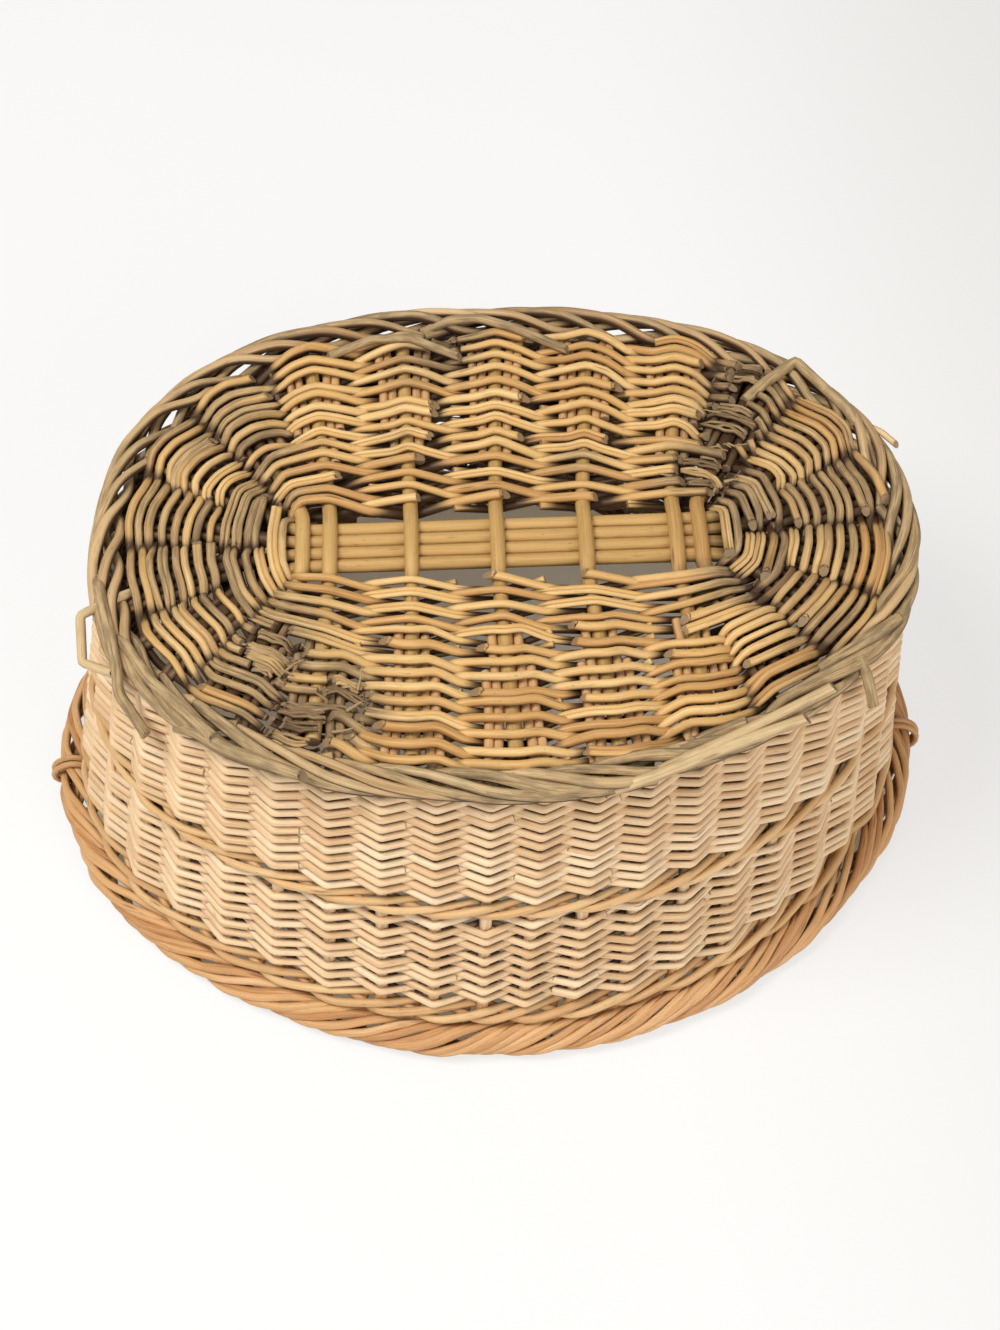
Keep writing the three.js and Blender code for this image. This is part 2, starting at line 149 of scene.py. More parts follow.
def ring(stake, height, out=0.0):
    """Flat places (x, y in mm, before the basket is turned over) beside the wall."""
    stake, height, out = together(stake, height, out)
    turn = np.interp(((stake + 0.5) / STAKES) % 1, arc, fine_turns)
    level = height / ROLL_HEIGHT
    squareness = FOOT_POWER + (RIM_POWER - FOOT_POWER) * level
    half = FOOT_HALF + (RIM_HALF - FOOT_HALF) * level[:, None]
    for middle, width, at_foot, at_rim in BULGES:
        away = (stake - middle + STAKES / 2) % STAKES - STAKES / 2
        swell = np.exp(-((away / width) ** 2)) * (at_foot + (at_rim - at_foot) * level)
        half = half * (1 + swell)[:, None]
    along = oval(turn + SMALL_TURN, squareness) - oval(turn - SMALL_TURN, squareness)
    along = along * (FOOT_HALF + RIM_HALF)
    normal = np.stack([along[:, 1], -along[:, 0]], -1)
    normal /= np.linalg.norm(normal, axis=1)[:, None]
    return oval(turn, squareness) * half + normal * out[:, None]


def wall(stake, height, out=0.0):
    """World points beside the wall."""
    stake, height, out = together(stake, height, out)
    return stand(ring(stake, height, out), height)


spacing = np.linalg.norm(ring(0, 0) - ring(1, 0))
print("stakes", STAKES, "spacing at the foot", round(float(spacing), 1), "mm")

# %% [markdown]
# A rod is a bevelled curve: a route, and a thickness that falls from the butt to the tip.
# A real rod can't turn a sharp corner, so `bend` spaces the points of a route evenly and then averages
# neighbours, which rounds every corner by as much as the rod is stiff.
# Nothing made by hand is quite straight, and `wander` gives the slow drift.

# %% Routes of rods
def bend(route, step=5.0, stiffness=6.0):
    """Evenly spaced points, step mm apart, along a route in metres, rounded over about stiffness mm."""
    route = np.asarray(route, float)
    reach = distances(route)
    count = max(int(reach[-1] * 1000 / step), 3)
    places = np.linspace(0, reach[-1], count + 1)
    points = np.stack([np.interp(places, reach, route[:, k]) for k in range(3)], -1)
    width = min(int(3 * stiffness / step) + 1, count - 1)
    weights = np.exp(-0.5 * (np.arange(-width, width + 1) * step / stiffness) ** 2)
    weights /= weights.sum()
    before = 2 * points[0] - points[width:0:-1]
    after = 2 * points[-1] - points[-2 : -width - 2 : -1]
    padded = np.vstack([before, points, after])
    return np.stack([np.convolve(padded[:, k], weights, "valid") for k in range(3)], -1)


def wander(count, size, length=12):
    """Slow random drift of a hand-made thing, about size large."""
    knots = chance.normal(0, size, max(count // length, 1) + 3)
    return np.interp(np.linspace(0, len(knots) - 1, count), np.arange(len(knots)), knots)


# %% [markdown]
# A rod is kept as its points, and its thickness and look at each point. Close to both ends a point is
# added, so that the look of a cut end stays on the end.

# %% Rods
END_EDGE = 0.0012
UNEVEN = 0.03


def new_rod(points, butt, tip=None, wear=0.0, soil=0.0, tone=None, slant=(0.0, 0.0)):
    """A rod along points, butt and tip mm thick at its ends. slant says how obliquely each end is cut."""
    points = np.asarray(points, float)
    knots = distances(points)
    knots /= knots[-1]
    ends = []
    for here, near in ((points[0], points[1]), (points[-1], points[-2])):
        gap = np.linalg.norm(near - here)
        ends.append(here + (near - here) * min(END_EDGE / max(gap, 1e-6), 0.4))
    points = np.vstack([points[:1], ends[:1], points[1:-1], ends[1:], points[-1:]])
    run = distances(points)
    share = run / run[-1]
    radius = (butt + ((butt if tip is None else tip) - butt) * share) / 2000
    radius = radius * (1 + wander(len(points), UNEVEN))
    rod = dict(points=points, run=run, radius=radius, slant=slant, cuts=np.zeros(len(points)))
    rod["cuts"][[0, -1]] = 1.0
    tone = chance.uniform() if tone is None else tone
    for name, value in (("tone", tone), ("wear", wear), ("soil", soil)):
        rod[name] = np.interp(share, knots, np.broadcast_to(value, knots.shape))
    return rod


# %% [markdown]
# Blender sweeps a circle along every route and makes one mesh of them, rod after rod and ring after ring,
# so the points of the mesh can be matched to the rods by counting. The ends are cut obliquely, as with a
# knife, and closed with flat faces.

# %% From rods to a mesh
def sweep(name, rods, sides):
    """One mesh of all the rods, still open at their ends."""
    curve = bpy.data.curves.new(name, "CURVE")
    curve.dimensions = "3D"
    curve.bevel_depth = 1.0
    curve.bevel_resolution = (sides - 4) // 2
    for rod in rods:
        spline = curve.splines.new("POLY")
        spline.points.add(len(rod["points"]) - 1)
        places = np.c_[rod["points"], np.ones(len(rod["points"]))]
        spline.points.foreach_set("co", places.astype(np.float32).ravel())
        spline.points.foreach_set("radius", rod["radius"].astype(np.float32))
    holder = bpy.data.objects.new(name, curve)
    mesh = bpy.data.meshes.new_from_object(holder)
    bpy.data.objects.remove(holder)
    bpy.data.curves.remove(curve)
    while mesh.uv_layers:
        mesh.uv_layers.remove(mesh.uv_layers[0])
    return mesh


def cut_ends(rod, rings):
    """Moves the points of the first and the last ring of a rod to the slant of its ends."""
    for end, inward, slant in ((0, 1, rod["slant"][0]), (-1, -2, rod["slant"][1])):
        if slant:
            middle = rings[end].mean(0)
            along = middle - rings[inward].mean(0)
            along /= np.linalg.norm(along)
            rings[end] -= along * (slant * (rings[end][:, 2:] - middle[2]))


def close_ends(mesh):
    """Flat faces over the open ends of smooth rods."""
    body = bmesh.new()
    body.from_mesh(mesh)
    for face in body.faces:
        face.smooth = True
    edges = [edge for edge in body.edges if edge.is_boundary]
    caps = bmesh.ops.holes_fill(body, edges=edges, sides=0)["faces"]
    bmesh.ops.recalc_face_normals(body, faces=caps)
    for face in caps:
        face.smooth = False
    body.to_mesh(mesh)
    body.free()


# %% [markdown]
# A bundle collects the rods of one piece. Each point of its mesh also remembers where it is on its rod
# (`grain`), how the rod looks (`look`: its tone, how weathered it is, and whether it is a cut end) and how
# much it is darkened by dirt and by painted shade. The finishes read these later. The side of a rod
# that is turned away from the light gets painted shade, so each bundle says how much painted shade lies
# there, and which way the lit side faces: outward, upward.

# %% Bundles of rods
# How the painted shade grows round a rod, away from its lit side.
SHADE_FROM, SHADE_OVER = 0.6, 0.9


def painted_shade_side(rings, exposed):
    """0 on the lit side of a rod, 1 on the side turned away from the light, for painted shade."""
    middle = rings.mean(1, keepdims=True)
    facing = rings - middle
    facing /= np.linalg.norm(facing, axis=2, keepdims=True)
    outward = middle * (1, 1, 0)
    outward /= np.linalg.norm(outward, axis=2, keepdims=True)
    lit_way = outward * exposed[0] + np.array([0, 0, 1]) * exposed[1]
    return np.clip((SHADE_FROM - (facing * lit_way).sum(2)) / SHADE_OVER, 0, 1)


class Bundle:
    """Rods that make one piece."""

    def __init__(self, name, sides=8, exposed=(0.0, 1.0), underside_shade=0.7):
        self.name, self.sides, self.rods = name, sides, []
        self.exposed, self.underside_shade = exposed, underside_shade

    def add(self, points, *sizes, **look):
        self.rods.append(new_rod(points, *sizes, **look))

    def mesh(self):
        mesh = sweep(self.name, self.rods, self.sides)
        places = np.empty(len(mesh.vertices) * 3, np.float32)
        mesh.vertices.foreach_get("co", places)
        places = places.reshape(-1, 3)
        grain, look, soil = [], [], []
        angle = 2 * np.pi * np.arange(self.sides) / self.sides
        first = 0
        for rod in self.rods:
            count = len(rod["points"])
            rings = places[first : first + count * self.sides].reshape(count, self.sides, 3)
            cut_ends(rod, rings)
            around = [np.tile(np.cos(angle), count), np.tile(np.sin(angle), count)]
            grain.append(np.stack([np.repeat(rod["run"], self.sides), *around], -1))
            values = [np.repeat(rod[name], self.sides) for name in ("tone", "wear", "cuts")]
            look.append(np.stack(values, -1))
            # Painted shade on the side of each rod turned away from the light, added to its dirt and shade
            # along the rod.
            soil.append((rod["soil"][:, None] + self.underside_shade * painted_shade_side(rings, self.exposed)).ravel())
            first += count * self.sides
        mesh.vertices.foreach_set("co", places.ravel())
        close_ends(mesh)
        for name, rows in (("grain", grain), ("look", look)):
            layer = mesh.attributes.new(name, "FLOAT_VECTOR", "POINT")
            layer.data.foreach_set("vector", np.vstack(rows).astype(np.float32).ravel())
        layer = mesh.attributes.new("soil", "FLOAT", "POINT")
        layer.data.foreach_set("value", np.concatenate(soil).astype(np.float32))
        return mesh

    def piece(self, slot, *nodes):
        """Makes the object, hangs it on the basket and lets it stand for its solids."""
        thing = bpy.data.objects.new(self.name, self.mesh())
        bpy.context.scene.collection.objects.link(thing)
        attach(thing, "root")
        if nodes:
            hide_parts(*nodes)
        thing["finish"] = slot
        triangles = sum(len(face.vertices) - 2 for face in thing.data.polygons)
        print(self.name, len(self.rods), "rods,", triangles, "triangles")


# %% [markdown]
# The base is built on sticks. Four long ones lie side by side, and seven thicker ones cross them.
# Each cross stick is split in the middle and the long sticks pass through the split, so it looks
# swollen there. From the bare middle the ends fan out to the edge, evenly round the oval.
# The ends are numbered round the oval, from the right, so that the weave can follow them in order.

# %% Places of the sticks
STICK_ENDS = 22
STICK_HEIGHT = 12.6
STICK_INSIDE = 12.3
LONG_RADIUS, CROSS_RADIUS = 4.5, 5.0
LONG_SPACING = 9.65
BARE_PLACE = np.array([1.0, 5.0])
BARE_BACK, BARE_FRONT = 27.5, 24.5
BARE_END = 140.0
LONG_PLACES = [BARE_PLACE[1] + (row - 1.5) * LONG_SPACING for row in range(4)]
CROSS_PLACES = [-130, -112.5, -60.5, -5.5, 51, 109, 124.5]
FAN_MIDDLE, FAN_FROM, FAN_FULL = 8, 122, 152


def long_ends(row):
    """The numbers of the right and the left end of a long stick."""
    return (row - 2) % STICK_ENDS, 12 - row


def cross_ends(column):
    """The numbers of the front and the back end of a cross stick."""
    return 8 - column, 13 + column


stick_inner = np.zeros((STICK_ENDS, 2))
stick_radius = np.full(STICK_ENDS, CROSS_RADIUS)
for row, place in enumerate(LONG_PLACES):
    for end, x in zip(long_ends(row), (BARE_END, -BARE_END)):
        stick_inner[end] = (BARE_PLACE[0] + x, place)
        stick_radius[end] = LONG_RADIUS
for column, x in enumerate(CROSS_PLACES):
    near, far = cross_ends(column)
    stick_inner[near] = (x, BARE_PLACE[1] + BARE_FRONT)
    stick_inner[far] = (x, BARE_PLACE[1] - BARE_BACK)
stick_outer = np.vstack([ring(2 * end + 0.5, 0, -STICK_INSIDE) for end in range(STICK_ENDS)])
stick_along = stick_outer - stick_inner
stick_length = np.linalg.norm(stick_along, axis=1)
stick_along /= stick_length[:, None]
stick_across = np.stack([-stick_along[:, 1], stick_along[:, 0]], -1)


def fan(points):
    """1 in the fans at both ends of the base, where the weave is dense, dirty and given painted shade, 0 in
    the middle.
    """
    return np.interp(np.abs(points[:, 0] * 1000 - FAN_MIDDLE), [FAN_FROM, FAN_FULL], [0, 1])


def fan_at(place):
    """The same for one flat place."""
    return fan(stand(place[None], 0))[0]


print("stick ends", STICK_ENDS, "the longest", round(float(stick_length.max())), "mm")

# %% [markdown]
# A long stick is one thick rod. A cross stick is drawn as its two halves, the upper one thicker, which
# part round the long sticks in the middle and lie together further out.

# %% Sticks of the base
LONG_BUTT, LONG_TIP = 9.5, 9.1
UPPER_HALF, LOWER_HALF = 9.6, 7.0
SPLIT_REACH = 18
SPLIT_LIFT = np.array([0, 0.6, 6.0, 6.0, 0.6, 0])
BARE_SHARE = 0.22

sticks = Bundle("base_sticks", sides=12, underside_shade=0.6)
for row in range(len(LONG_PLACES)):
    right, left = long_ends(row)
    flat = np.vstack([stick_outer[left], stick_inner[left], stick_inner[right], stick_outer[right]])
    route = bend(stand(flat, STICK_HEIGHT), 6, 8)
    # Painted shade on the long sticks in the fans, where they lie under the dense weave.
    sticks.add(route, LONG_BUTT, LONG_TIP, soil=fan(route), tone=0.35 + 0.12 * row)
sticks.piece("stick_willow", *(f"long_stick_{i}" for i in range(1, 5)))

cross = Bundle("base_cross_sticks", sides=12, underside_shade=0.4)
for column, x in enumerate(CROSS_PLACES):
    near, far = cross_ends(column)
    flat = np.vstack([
        stick_outer[far], stick_inner[far],
        (x, BARE_PLACE[1] - SPLIT_REACH), (x, BARE_PLACE[1] + SPLIT_REACH),
        stick_inner[near], stick_outer[near],
    ])
    for side, girth in ((1, UPPER_HALF), (-1, LOWER_HALF)):
        route = bend(stand(flat, STICK_HEIGHT - SPLIT_LIFT * side), 5, 6)
        woven = np.abs(np.linspace(-1, 1, len(route))) > BARE_SHARE
        # Painted shade on the woven parts of the cross sticks, under the weave, more of it in the fans.
        cross.add(route, girth, soil=woven * (0.25 + 0.7 * fan(route)), tone=0.3 + 0.09 * column)
cross.piece("stick_willow", *(f"cross_stick_{i}" for i in range(1, 8)))

# %% [markdown]
# The base is woven by pairing: two rods work together, and at every stick one goes over and the other
# under, and they twist past each other before the next stick. On the outside every stick is therefore
# crossed in every round. Near the middle the close sticks are crossed as one, and further out each
# stick has two stakes driven in at either side, so that a rod arches over a bundle of five.
# In the dense fans at both ends of the base the rods lie straighter than in the middle.
# New rods start with their butt on top of a stick, which leaves the oval cut ends.
# A round is a list of units, and a unit is the sticks that are crossed as one: the four long sticks in
# two rounds, two of them in the next four, and after that every stick is crossed by itself.

# %% Rounds of the base weave
ROUNDS = 14
singles = [[(1 - step) % STICK_ENDS] for step in range(STICK_ENDS)]
cross_doubles = ([19, 18], [17], [16], [15], [14, 13]), ([8, 7], [6], [5], [4], [3, 2])
first_rounds = [[1, 0, 21, 20], *cross_doubles[0], [12, 11, 10, 9], *cross_doubles[1]]
next_rounds = [[1, 0], [21, 20], *cross_doubles[0], [12, 11], [10, 9], *cross_doubles[1]]
plan = [first_rounds] * 2 + [next_rounds] * 4 + [singles] * (ROUNDS - 6) + [singles[:6]]
print("rounds", ROUNDS, "crossings", sum(len(units) for units in plan))

# %% [markdown]
# The route of a strand is a list of places: on each unit that it crosses, and one between two units,
# where it twists past the other strand. Over a stick and its stakes it needs three, one at either side
# and one on top, which is pushed outward a little, so that the rod lies in an arch.

# %% Routes of the two strands
WEAVER = 5.8
BASE_TOP = FOOT_TOP - STICK_HEIGHT
# Where along a stick its first and second stakes begin, and how far they widen it.
LEG_START, LEG_LATER = 0.30, 0.52
BESIDE_ONE, BESIDE_TWO = 4.5, 9
# Height of a rod between sticks, above a stick with its stakes, and beside them.
MID_LIFT, OVER_GAP, BESIDE_LIFT = -0.8, 0.6, 6.0
# The arch and the twist, and how much of each is lost in the fans.
PEAK, FAN_PEAK_LOSS = 2.0, 0.6
TWIST, FAN_TWIST_LOSS = 0.3, 0.2
# The share of a stick's length where the weave begins, how much all rounds take up, and where it ends.
FIRST_SHARE, SHARE_RANGE, LAST_SHARE = 0.01, 1.05, 1.06
SHARE_DRIFT, RISE_DRIFT = 0.011, 0.7


def crossing(ends, share):
    """Places where a rod crosses a unit of sticks at a share of their length, and the lift at each."""
    places, lifts = [], []
    for end in ends:
        middle = stick_inner[end] + stick_along[end] * stick_length[end] * share
        if len(ends) > 1 or share < LEG_START:
            places.append(middle)
            lifts.append(stick_radius[end] + WEAVER / 2)
            continue
        reach = stick_radius[end] + (BESIDE_TWO if share > LEG_LATER else BESIDE_ONE)
        peak = PEAK * (1 - FAN_PEAK_LOSS * fan_at(middle))
        top_lift = stick_radius[end] + WEAVER / 2 + OVER_GAP
        for side, lift in ((1, BESIDE_LIFT), (0, top_lift), (-1, BESIDE_LIFT)):
            ridge = peak if side == 0 else -peak / 2
            places.append(middle + stick_across[end] * side * reach + stick_along[end] * ridge)
            lifts.append(lift)
    return places, lifts


def weaver_route(strand):
    """Route of a strand, as (flat place, lift, number of the crossing if it goes over, or less than 0)."""
    crossings = []
    for turn, units in enumerate(plan):
        for number, ends in enumerate(units):
            row = turn + number / (STICK_ENDS if turn == ROUNDS else len(units))
            share = min(FIRST_SHARE + SHARE_RANGE * row / ROUNDS, LAST_SHARE)
            share += chance.normal(0, SHARE_DRIFT)
            crossings.append((*crossing(ends, share), ends[0]))
    route = []
    for m, (places, lifts, end) in enumerate(crossings):
        over = (m + strand) % 2 == 0
        rise = chance.normal(0, RISE_DRIFT)
        for place, lift in zip(places, lifts):
            route.append((place, lift + rise if over else -lift, m if over else -2))
        if m + 1 < len(crossings):
            ahead = crossings[m + 1][0][0]
            outward = stick_along[end] + stick_along[crossings[m + 1][2]]
            outward /= np.linalg.norm(outward)
            twist = (TWIST - FAN_TWIST_LOSS * fan_at(places[-1])) * stick_length[end] / ROUNDS
            twist *= 1 if over else -1
            route.append(((places[-1] + ahead) / 2 + outward * twist, MID_LIFT, -1))
    return route


# %% [markdown]
# The base has stood on damp ground, so parts of it have gone grey, and some rods there have snapped.
# The grey is kept as a list of round patches, each with a place, a size and a strength, in millimetres.
# Rods that run through a patch carry it along their length. In the worst patches they are split into
# fibres or broken, and at the front one corner has lost its outer rows altogether.

# %% Weathered places on the base
PATCHES = [
    (-152, 30, 34, 0.78), (-178, -6, 44, 0.75), (-136, -77, 30, 0.95), (-120, -130, 28, 1.0),
    (-93, -112, 24, 0.95), (163, 97, 26, 1.0), (142, 55, 24, 1.0), (181, 137, 24, 0.9),
    (190, 15, 46, 0.78), (168, -25, 34, 0.75), (-25, 178, 24, 0.9), (-165, 95, 44, 0.6),
    (-215, 30, 40, 0.5), (210, -90, 34, 0.55), (225, 60, 44, 0.5), (-60, 95, 16, 0.55),
    (60, 70, 18, 0.45), (-50, 150, 20, 0.5),
]
FRAYED = 0.8
# Each hole: its place, and half its width and depth.
HOLES = [(-108, -158, 17, 13), (-96, -134, 9, 5), (176, 122, 9, 9), (152, 78, 6, 8)]


def base_wear(points):
    """How grey the base is at each point, from 0 to 1."""
    flat = points[:, :2] * 1000
    total = np.zeros(len(points))
    for x, y, size, depth in PATCHES:
        away = np.hypot(flat[:, 0] - x, flat[:, 1] - y)
        total = np.maximum(total, depth * np.exp(-0.5 * (away / size) ** 2))
    return total


def stretches(points):
    """The parts of a rod that are outside the holes, and whether each has frayed."""
    flat = points[:, :2] * 1000
    kept = np.ones(len(points), bool)
    for x, y, wide, deep in HOLES:
        kept &= ((flat[:, 0] - x) / wide) ** 2 + ((flat[:, 1] - y) / deep) ** 2 > 1
    frayed = kept & (base_wear(points) > FRAYED)
    state = kept.astype(int) + frayed
    edges = np.flatnonzero(np.diff(np.r_[0, state, 0]))
    return [(a, b, state[a] == 2) for a, b in zip(edges[:-1], edges[1:]) if state[a] and b - a > 3]


print("grey patches", len(PATCHES), "holes", len(HOLES))

# %% [markdown]
# Each strand is cut into rods. In some rounds the rods start on chosen sticks, side by side, and
# elsewhere they are as long as they happened to be. The part of a rod that runs under a stick gets painted
# shade.

# %% Rods of the base weave
CHOSEN_STARTS = {1, 2, 3, 4, 9, 10, 68, 69, 70, 71, 76, 77, 78, 79}
FIRST_LENGTHS, LENGTHS, FREE_FROM = (8, 13), (8, 17), 12
SNAP_WEAR, SNAP_CHANCE = 0.7, 0.45


def rod_starts(over, worn):
    """Where the rods of a strand start: on chosen sticks, at chance lengths, and where one has snapped."""
    starts = [0]
    next_start = chance.integers(*FIRST_LENGTHS)
    for i, m in enumerate(over):
        if m < 0 or over[i - 1] == m:
            continue
        snapped = worn[i] > SNAP_WEAR and chance.uniform() < SNAP_CHANCE
        if m in CHOSEN_STARTS or (m > next_start and m > FREE_FROM) or snapped:
            starts.append(i)
            next_start = m + chance.integers(*LENGTHS)
    return starts


def base_dirt_and_shade(rod):
    """Painted shade on the low parts of a rod, reaching higher in the fans, and dirt in the fans and in the
    grey patches.
    """
    # Painted shade where the rod dips under the sticks, reaching higher in the fans.
    soil = np.clip((BASE_TOP + 0.2 + 2.8 * fan(rod) - rod[:, 2] * 1000) / 4.5, 0, 1)
    soil += fan(rod) * chance.uniform(-0.25, 0.35)
    soil += np.clip((base_wear(rod) - 0.45) / 0.4, 0, 1) * chance.uniform(0.05, 0.65)
    return soil


def sideways(rod):
    """The level direction across a rod, at each of its points."""
    along = np.gradient(rod, axis=0)
    beside = np.stack([-along[:, 1], along[:, 0], np.zeros(len(rod))], -1)
    return beside / np.linalg.norm(beside, axis=1)[:, None]


# %% [markdown]
# Most rods lie singly and some as a thinner pair, side by side. In the worst grey patches a rod is drawn
# as three loose fibres, each with a drift of its own.

# %% Weaving the base
BUTTS, TIPS = (5.7, 6.9), (4.7, 5.4)
DOUBLE_CHANCE = 0.2
# Where the rods lie beside the route, and their thickness: one rod, a thinner pair, or split fibres.
SINGLE, DOUBLE, SPLIT = ((0,), 1.0), ((-1, 1), 0.62), ((-1.2, 0, 1.2), 0.48)
BESIDE, FIBRE_DRIFT = 0.0016, 0.0007
LEADS, LEAD_RISE = (0.004, 0.008), 0.0005

weave = Bundle("base_weave", exposed=(0.0, 0.85), underside_shade=0.7)
for strand in range(2):
    flat, lifts, over = (np.array(values) for values in zip(*weaver_route(strand)))
    points = np.c_[stand(flat, 0)[:, :2], (BASE_TOP + lifts) / 1000]
    starts = rod_starts(over, base_wear(points))
    for begin, finish in zip(starts, [*starts[1:], len(points)]):
        part = points[begin:finish]
        if len(part) < 4:
            continue
        way = part[1] - part[0]
        lead = part[0] - way / np.linalg.norm(way) * chance.uniform(*LEADS)
        lead[2] = part[0][2] + LEAD_RISE
        rod = bend(np.vstack([lead, part]), 3.8, 2.7)
        butt, tip, tone = chance.uniform(*BUTTS), chance.uniform(*TIPS), chance.uniform()
        grey = (base_wear(rod) + 0.1 * fan(rod)) * chance.uniform(0.45, 1.35)
        # Painted shade on the dips, with dirt in the fans and the grey patches.
        soil = base_dirt_and_shade(rod)
        beside = sideways(rod)
        whole = DOUBLE if chance.uniform() < DOUBLE_CHANCE else SINGLE
        for a, b, frayed in stretches(rod):
            sides, girth = SPLIT if frayed else whole
            for side in sides:
                moved = rod[a:b] + beside[a:b] * side * BESIDE
                if frayed:
                    moved = moved + np.stack([wander(b - a, FIBRE_DRIFT, 3) for _ in range(3)], -1)
                oblique = (chance.uniform(0.4, 1.6), 0)
                look = dict(wear=grey[a:b], soil=soil[a:b], tone=tone + 0.2 * side)
                weave.add(moved, butt * girth, tip * girth, slant=oblique, **look)
weave.piece("base_willow", "base_weaver_1", "base_weaver_2")

# %% [markdown]
# Stakes are driven into the base beside the sticks, turn down over the edge and become the ribs of the
# wall. They stand in pairs, and at the rim their tips are laid down and rolled into the border.
# The roll needs no piece of its own: each tip runs on past the next stakes, out over the roll and back in.

# %% Border
ROLL = 9.2
# The way of a tip: stakes passed, more of them at the ends of the basket, height and distance out.
TIP_AHEAD = np.array([0.1, 0.7, 1.3, 1.9, 2.4, 2.8])
TIP_FURTHER = np.array([0, 0.1, 0.2, 0.6, 0.9, 1.0])
TIP_HEIGHT = np.array([-0.3, -1, -0.4, 0.3, 1, 1])
TIP_OUT = np.array([0.1, 0.9, 1.7, 1.85, 1.1, 0.5])


def border_way(place, spread):
    """The tip of a stake round the roll of the border, wider and longer at the ends of the basket."""
    at_end = abs(ring(place, ROLL_HEIGHT)[0, 0] / RIM_HALF[0]) ** 4
    wide = ROLL * (1 + 0.3 * at_end) + chance.normal(0, 0.5)
    ahead = TIP_AHEAD + at_end * TIP_FURTHER
    low = ROLL_HEIGHT - abs(chance.normal(0, 1.4))
    places = place + spread + ahead + chance.normal(0, 0.09)
    return wall(places, low + ROLL * TIP_HEIGHT, wide * TIP_OUT)


# %% [markdown]
# A stake is therefore one long rod: a leg beside a stick, the rib up the wall, and the tip in the border.
# The second stake of a pair starts further out on the base.

# %% Stakes
STAKE = 6.0
ON_BASE = 0.22
TWIN_GAP, TWIN_SHIFT, TIP_SPREAD = 0.1, 0.035, 0.17


def stake_painted_shade(rod):
    """Painted shade on the legs beside the sticks in the fans and behind the dense part of the wall, and
    none further on.
    """
    height = rod[:, 2]
    # Painted shade on the stakes behind the lower rand, and on their legs in the fans.
    shaded = np.interp(height, [0.12, 0.135, 0.215, 0.225], [0, 0.8, 0.8, 0])
    return shaded + 0.8 * fan(rod) * (height > ON_BASE)


def stake_tone(rod):
    """Pale on the wall, and browner on the base and at the border, where it was handled."""
    return np.interp(rod[:, 2], [0.032, 0.046, 0.2, 0.22], [chance.uniform(0.4, 1.1), 0, 0, 0.6])


stakes = Bundle("stakes", exposed=(0.7, 0.7), underside_shade=0.6)
for number in range(STAKES):
    end, side = number // 2, -1 if number % 2 == 0 else 1
    for twin, start, sign in ((0, LEG_START, -1), (1, LEG_LATER, 1)):
        beside = stick_radius[end] + STAKE / 2 + TWIN_GAP + twin * (STAKE - TWIN_GAP)
        shares = np.array([start + chance.normal(0, 0.02), 0.75, 1.0])
        leg = stick_inner[end] + np.outer(stick_length[end] * shares, stick_along[end])
        leg = leg + np.outer(beside + np.array([0, 0, 3]), stick_across[end] * side)
        leg = stand(leg, STICK_HEIGHT + np.array([0, 0, 0.5]))
        place = number + np.full(3, TWIN_SHIFT * sign * side)
        up = wall(place, [STICK_HEIGHT + 9, 40, ROLL_HEIGHT - 20], [-1, 0, 0])
        rod = bend(np.vstack([leg, up, border_way(number, TIP_SPREAD * sign)]), 5, 6)
        grey = base_wear(rod) * (rod[:, 2] > ON_BASE)
        # The stakes carry painted shade behind the lower rand and on their legs in the fans.
        stakes.add(rod, STAKE + 0.4, STAKE - 0.4, grey, stake_painted_shade(rod), stake_tone(rod))
stakes.piece("stake_willow", *(f"stake_pair_{i:02d}" for i in range(1, 23)))

# %% [markdown]
# Beside most stakes another rod is pushed down into the weave, only to make the border thicker.
# At the two ends of the basket there are none.

# %% Extra rods of the border
EXTRA_WITHIN = 0.86
EXTRA_PLACE, EXTRA_SPREAD = np.array([0.3, 0.35]), 0.5

border = Bundle("border_rods", exposed=(0.7, 0.7), underside_shade=0.5)
for number in range(STAKES):
    if abs(ring(number, ROLL_HEIGHT)[0, 0]) < EXTRA_WITHIN * RIM_HALF[0]:
        up = wall(number + EXTRA_PLACE, [ROLL_HEIGHT - 26, ROLL_HEIGHT - 12], [-5, -2])
        rod = bend(np.vstack([up, border_way(number, EXTRA_SPREAD)]), 5, 6)
        # Painted shade as on the stakes.
        border.add(rod, STAKE + 0.2, STAKE - 0.4, 0.0, stake_painted_shade(rod), stake_tone(rod))
border.piece("stake_willow")

# %% [markdown]
# A wale is a rope of three to five rods. Each rod passes in front of two to four stakes and behind the
# next, and the rods follow one another, so the outside shows long slanting strokes.

# %% Wales
def wale(bundle, heights, outs, girth, wear=0.0, lengths=(14, 22), loose=0.6):
    """Rods whose place at stake s is the entry (s + strand) of heights and outs, taken in turn."""
    count = len(heights)
    for strand in range(count):
        at, last = strand * 3 - strand % count, strand * 3 + STAKES
        while at < last:
            upto = min(at + chance.integers(*lengths), last + 1)
            upto += -(upto + strand) % count
            stake = np.arange(at, upto + 1)
            pick = (stake + strand) % count
            height = np.array(heights)[pick] + wander(len(stake), loose, 3)
            out = np.array(outs)[pick] + wander(len(stake), loose, 3)
            rod = bend(wall(stake, height, out), 5, 9)
            grey = 0.0
            if wear:
                grey = np.clip(wear + chance.normal(0, 0.35) + wander(len(rod), 0.3, 24), 0, 1)
            butt, tip = girth * chance.uniform(0.98, 1.12), girth * chance.uniform(0.8, 0.92)
            bundle.add(rod, butt, tip, grey)
            at = upto


